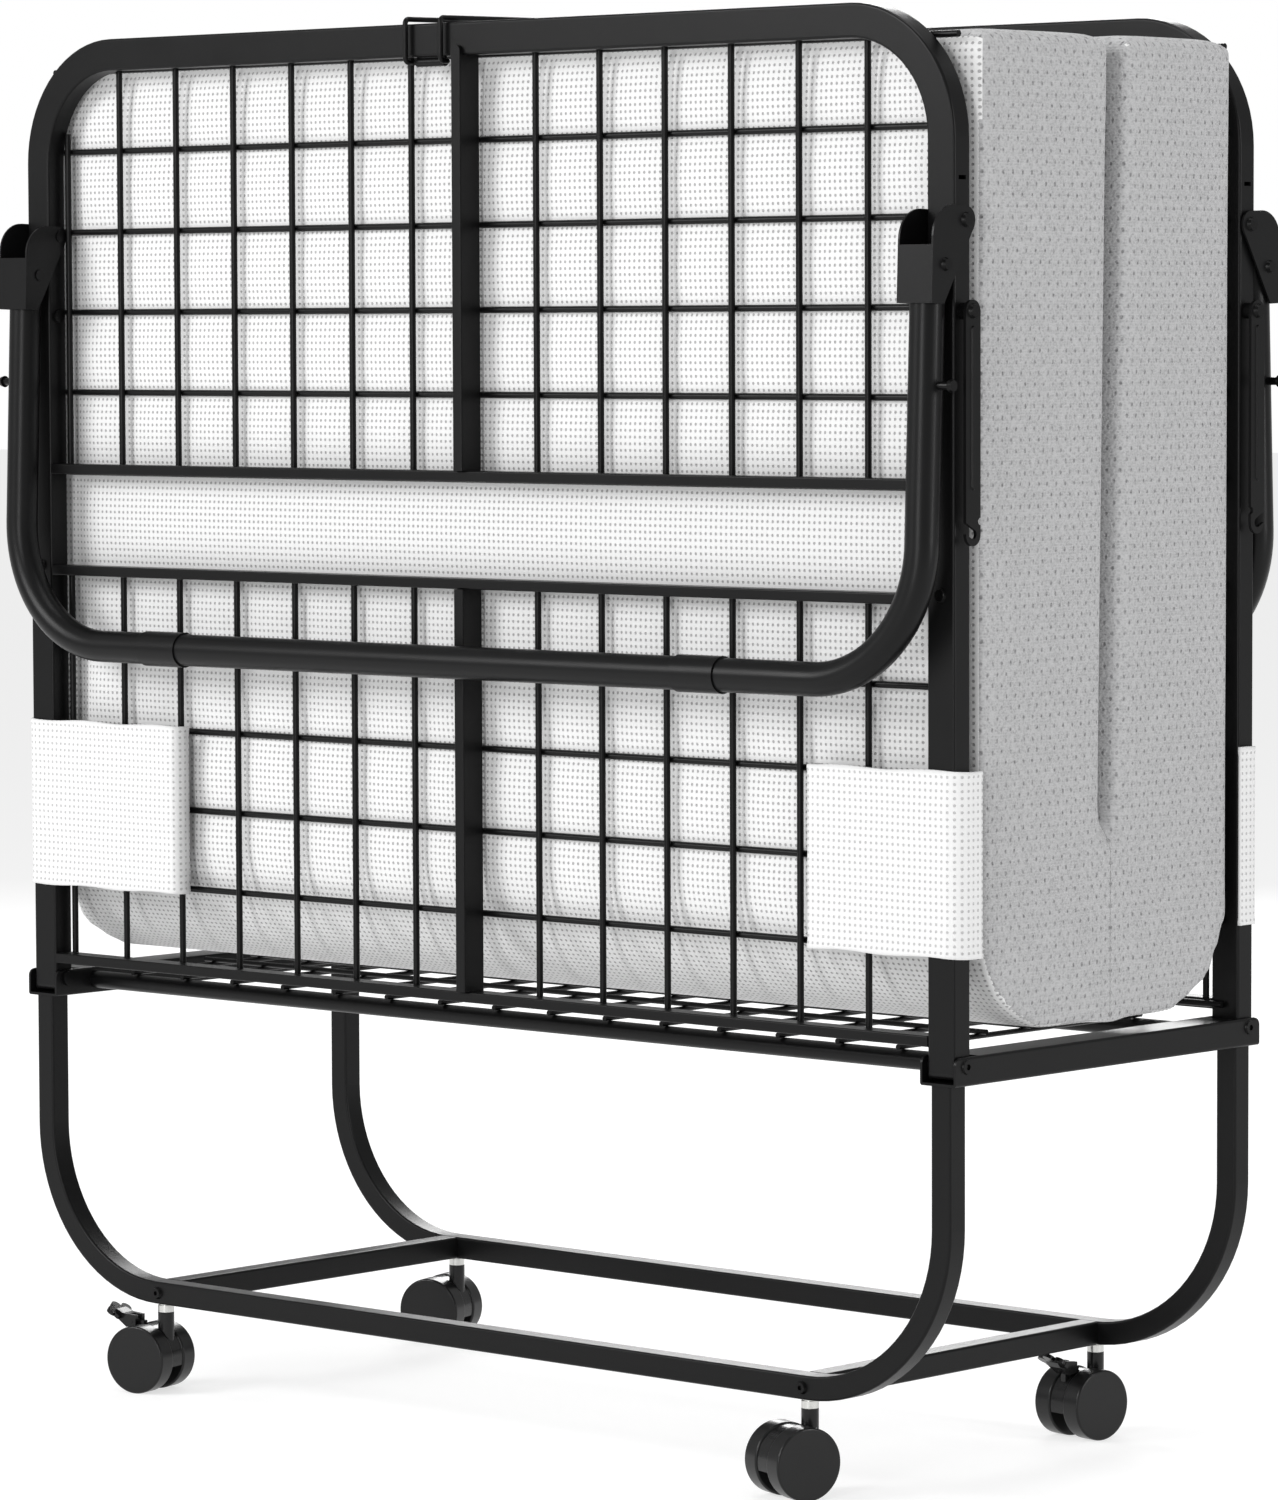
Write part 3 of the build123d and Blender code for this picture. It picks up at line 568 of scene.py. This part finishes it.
strap_low, strap_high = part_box("front_straps")
STRAP_T = 0.002
STRAP_ROWS = 40                     # across the band
STRAP_STEPS = 44                    # along its flat run
LIP = 0.008                         # the inner end curls back over this much
TURN_R = 0.012
TURN_STEPS = 6
BACK_STEPS = 5
Z0, Z1 = strap_low[2], strap_high[2]
OUT_X = strap_high[0] + 0.0035 - STRAP_T / 2
FRONT_Y = strap_low[1] + STRAP_T / 2
BACK_Y = strap_high[1]
HEM_IN = 0.007                      # the cloth is doubled within this of an edge
SEAM = 0.0075                       # the hem's seam, from the edge
SEAM_HALF = 0.0018
WAVE = 0.0004


def strap_path(inner):
    """(x, y) down the middle of the cloth: lip, flat run, round the rail, and back."""
    flat = OUT_X - TURN_R - inner - LIP
    back = BACK_Y - FRONT_Y - TURN_R
    path = [(inner + 0.0012, FRONT_Y + 0.0148), (inner + 0.0002, FRONT_Y + 0.006),
            (inner + 0.0022, FRONT_Y + 0.0012), (inner + LIP, FRONT_Y)]
    path += [(inner + LIP + flat * i / STRAP_STEPS, FRONT_Y)
             for i in range(1, STRAP_STEPS + 1)]
    path += [(OUT_X - TURN_R + TURN_R * math.sin(a), FRONT_Y + TURN_R - TURN_R * math.cos(a))
             for a in [math.pi / 2 * i / TURN_STEPS for i in range(1, TURN_STEPS + 1)]]
    path += [(OUT_X, FRONT_Y + TURN_R + back * i / BACK_STEPS)
             for i in range(1, BACK_STEPS + 1)]
    return np.array(path)


def strap_faces(cols):
    """Two layers of the cloth, closed all round their edge."""
    faces = []

    def at(layer, i, j):
        return layer * cols * (STRAP_ROWS + 1) + i * (STRAP_ROWS + 1) + j

    for i in range(cols - 1):
        for j in range(STRAP_ROWS):
            faces.append([at(0, i, j), at(0, i + 1, j), at(0, i + 1, j + 1), at(0, i, j + 1)])
            faces.append([at(1, i, j), at(1, i, j + 1), at(1, i + 1, j + 1), at(1, i + 1, j)])
        for j in (0, STRAP_ROWS):
            faces.append([at(0, i, j), at(1, i, j), at(1, i + 1, j), at(0, i + 1, j)])
    for j in range(STRAP_ROWS):
        for i in (0, cols - 1):
            faces.append([at(0, i, j), at(0, i, j + 1), at(1, i, j + 1), at(1, i, j)])
    return faces


def strap(name, sx, inner, turn):
    """One band round a rail, and the length of its cloth."""
    path = strap_path(inner)
    seg = np.r_[0, np.cumsum(np.linalg.norm(np.diff(path, axis=0), axis=1))]
    tan = np.gradient(path, axis=0)
    tan /= np.linalg.norm(tan, axis=1, keepdims=True)
    normal = np.c_[tan[:, 1], -tan[:, 0]]
    rng = np.random.default_rng(7 if sx < 0 else 11)
    amp = rng.uniform(0.3, 1.0, 4)
    verts, uvs = [], []
    for layer in (1, -1):
        for i, (p, m) in enumerate(zip(path, normal)):
            for j in range(STRAP_ROWS + 1):
                t = j / STRAP_ROWS
                z = Z0 + (Z1 - Z0) * t
                hem = min(t, 1 - t) * (Z1 - Z0)
                thick = STRAP_T / 2 + (0.0004 if hem < HEM_IN else 0.0)
                if abs(hem - SEAM) < SEAM_HALF:
                    thick -= 0.00045
                wave = WAVE * (amp[0] * math.sin(9 * t + 3 * seg[i] / 0.05)
                               + amp[1] * math.sin(17 * t + 1.3 - seg[i] / 0.021))
                flat = 1.0 if 4 <= i <= STRAP_STEPS + 3 else 0.0
                q = p + m * (layer * thick + wave * flat)
                edge = 0.0007 * math.sin(seg[i] / 0.013 + amp[2] * 6) * (1 if t in (0, 1) else 0)
                verts.append((sx * q[0], q[1], z + edge))
                uvs.append((seg[i], z))
    obj = add(name, verts, strap_faces(len(path)), STRAP)
    if turn:
        co = coords_of(obj)
        co[:, :2] *= -1
        set_coords(obj, co)
    face_outwards(obj)
    uv = obj.data.uv_layers.new(name="UVMap")
    for loop in obj.data.loops:
        uv.data[loop.index].uv = uvs[loop.vertex_index]
    for poly in obj.data.polygons:
        poly.use_smooth = True
    return obj, seg[-1]


for side, turn in (("front", False), ("rear", True)):
    for label, sx, inner in (("left", -1, 0.313), ("right", 1, 0.345)):
        obj, length = strap(f"{side}_strap_{label}", sx, inner, turn)
        if label == "left":
            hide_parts(f"{side}_straps")
        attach(obj, f"{side}_panel")

# ---------------------------------------------------------------- floor and backdrop
# The bed stands on a matt floor under an even white surround. The floor gives off a little
# light of its own, so that it stays pale beneath the bed.
FLOOR_HALF = 30
floor_paint = Finish("floor", (0.45, 0.45, 0.45), 0.9, specular=0.0)
floor_paint.inputs["Emission Color"].default_value = (1, 1, 1, 1)
floor_paint.inputs["Emission Strength"].default_value = 0.65
floor = add("floor", [(-FLOOR_HALF, -FLOOR_HALF, 0), (FLOOR_HALF, -FLOOR_HALF, 0),
                      (FLOOR_HALF, FLOOR_HALF, 0), (-FLOOR_HALF, FLOOR_HALF, 0)],
            [[0, 1, 2, 3]], floor_paint.mat)

world = bpy.data.worlds.new("studio")
bpy.context.scene.world = world
world.use_nodes = True
studio = Nodes(world.node_tree)
room_light = studio.tree.nodes["Background"]
room_light.inputs["Color"].default_value = (1.0, 1.0, 1.0, 1)
room_light.inputs["Strength"].default_value = 0.44
backdrop = studio.node("ShaderNodeBackground", {}, {"Color": (1.0, 1.0, 1.0, 1), "Strength": 1.0})
camera_ray = studio.node("ShaderNodeLightPath", {}, {}, "Is Camera Ray")
surround = studio.node("ShaderNodeMixShader", {},
                       {"Fac": camera_ray, 1: Sock(studio, room_light.outputs[0]), 2: backdrop})
studio.tree.links.new(surround.out, studio.tree.nodes["World Output"].inputs["Surface"])


# ---------------------------------------------------------------- lamps
# Five soft boxes stand round the bed. The key and front ones light the front panel, and the
# others light the side, the top end and the rear.
def area(name, at, to, size, power):
    lamp = bpy.data.lights.new(name, "AREA")
    lamp.shape = "RECTANGLE"
    lamp.size, lamp.size_y = size
    lamp.energy = power
    obj = bpy.data.objects.new(name, lamp)
    obj.location = at
    obj.rotation_euler = (Vector(to) - Vector(at)).to_track_quat("-Z", "Y").to_euler()
    bpy.context.collection.objects.link(obj)


area("key", (-1.9, -3.4, 2.3), (0, 0, 0.6), (1.6, 1.6), 100)
area("front", (1.2, -4.2, 1.2), (0, 0, 0.6), (0.7, 2.0), 52)
area("side", (4.4, 0.9, 1.5), (0, 0, 0.6), (0.6, 2.2), 62)
area("top", (0.2, 0.1, 3.4), (0, 0, 0.5), (1.8, 1.8), 34)
area("back", (-2.4, 3.2, 2.0), (0, 0, 0.6), (1.4, 1.8), 60)

# ---------------------------------------------------------------- camera
# A long lens a little lower than the top of the bed, off to the right of the front panel.
# It looks slightly down, and is rolled by a fraction of a degree.
YAW = 42.414
PITCH_DOWN = 3.856
ROLL = -0.214
cam = bpy.data.cameras.new("camera")
cam.sensor_fit = "VERTICAL"
cam.sensor_height = 36.0
cam.lens = 150.61
cam_obj = bpy.data.objects.new("camera", cam)
cam_obj.location = (3.2951, -3.5832, 0.8477)
turn = Matrix.Rotation(math.radians(YAW), 3, "Z")
tip = Matrix.Rotation(math.radians(90 - PITCH_DOWN), 3, "X")
roll = Matrix.Rotation(math.radians(ROLL), 3, "Z")
cam_obj.rotation_euler = (turn @ tip @ roll).to_euler()
bpy.context.collection.objects.link(cam_obj)
bpy.context.scene.camera = cam_obj
bpy.context.scene.view_settings.view_transform = "Standard"
